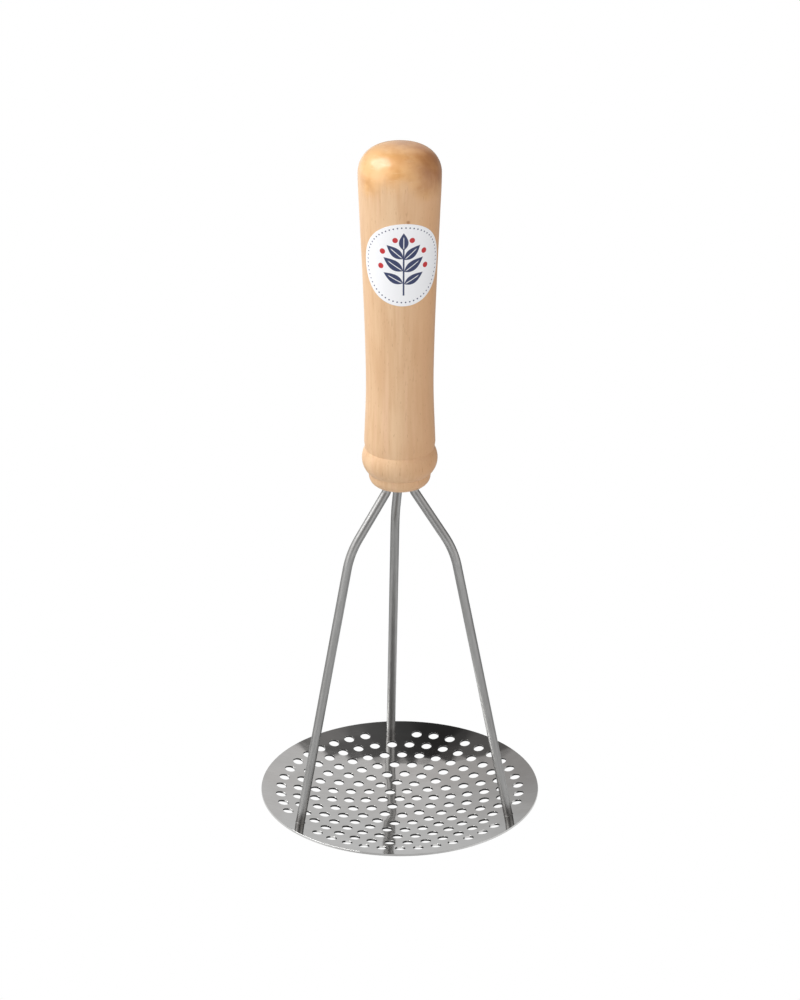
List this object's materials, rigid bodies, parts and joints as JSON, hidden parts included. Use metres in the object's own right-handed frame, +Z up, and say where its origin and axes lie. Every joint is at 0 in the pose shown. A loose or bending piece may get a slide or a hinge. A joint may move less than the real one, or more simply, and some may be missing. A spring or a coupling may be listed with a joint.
{
  "type": "potato masher",
  "caption": "Upright potato masher: turned wooden handle, bent wire legs and a shallow dished, perforated round plate.",
  "frame": {"origin": "centre of the plate's underside, on the surface the masher stands on", "axes": "+Z up the handle, +Y towards the back leg, the label faces -Y"},
  "size_m": [0.1, 0.1, 0.25],
  "materials": {
    "beech": "satin varnish, glossier over the end grain of the dome",
    "wire": "satin drawn stainless wire",
    "plate_steel": "bright rolled stainless sheet",
    "label_paper": "smooth coated paper with a printed leaf sprig"
  },
  "bodies": {
    "root": {"handle": "beech", "leg_back": "wire", "leg_left": "wire", "leg_right": "wire", "plate": "plate_steel", "round_label": "label_paper"}
  },
  "joints": []
}
